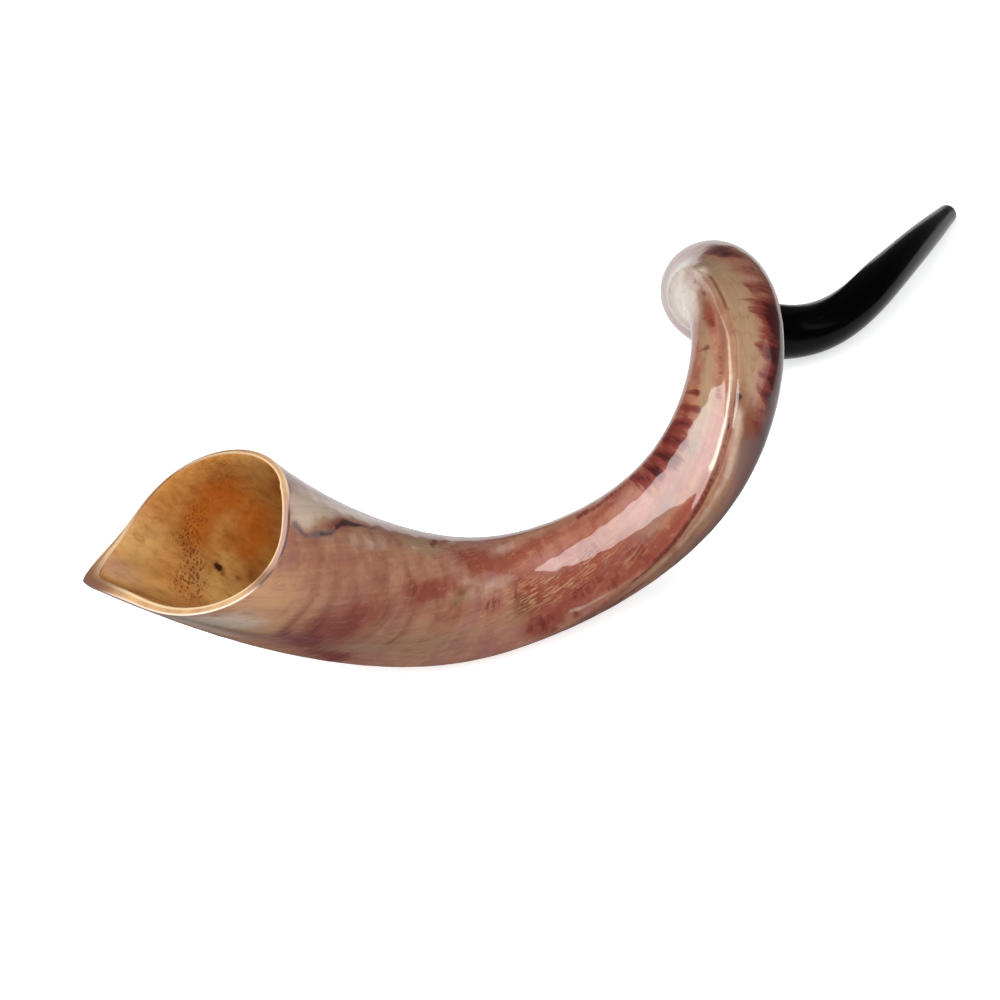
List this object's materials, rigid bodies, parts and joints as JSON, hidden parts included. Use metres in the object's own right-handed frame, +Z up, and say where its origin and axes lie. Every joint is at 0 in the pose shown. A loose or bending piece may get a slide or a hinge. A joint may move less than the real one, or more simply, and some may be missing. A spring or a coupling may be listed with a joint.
{
  "type": "shofar",
  "caption": "Long curly shofar: one corkscrew horn, a slanting teardrop bell with a beak, hollow marbled sheath, drilled black tip with a cup for the lips.",
  "frame": {"origin": "on the table, under the middle of the horn's box", "axes": "+Z up with the horn lying at rest on its belly and its tip; +X from the bell to the blowing end, along the corkscrew"},
  "size_m": [0.6805, 0.196, 0.144],
  "materials": {
    "marbled_horn": "polished natural horn, gloss",
    "black_horn": "polished black horn, gloss"
  },
  "bodies": {
    "root": {"horn_body": "marbled_horn", "black_tip": "black_horn"}
  },
  "joints": []
}
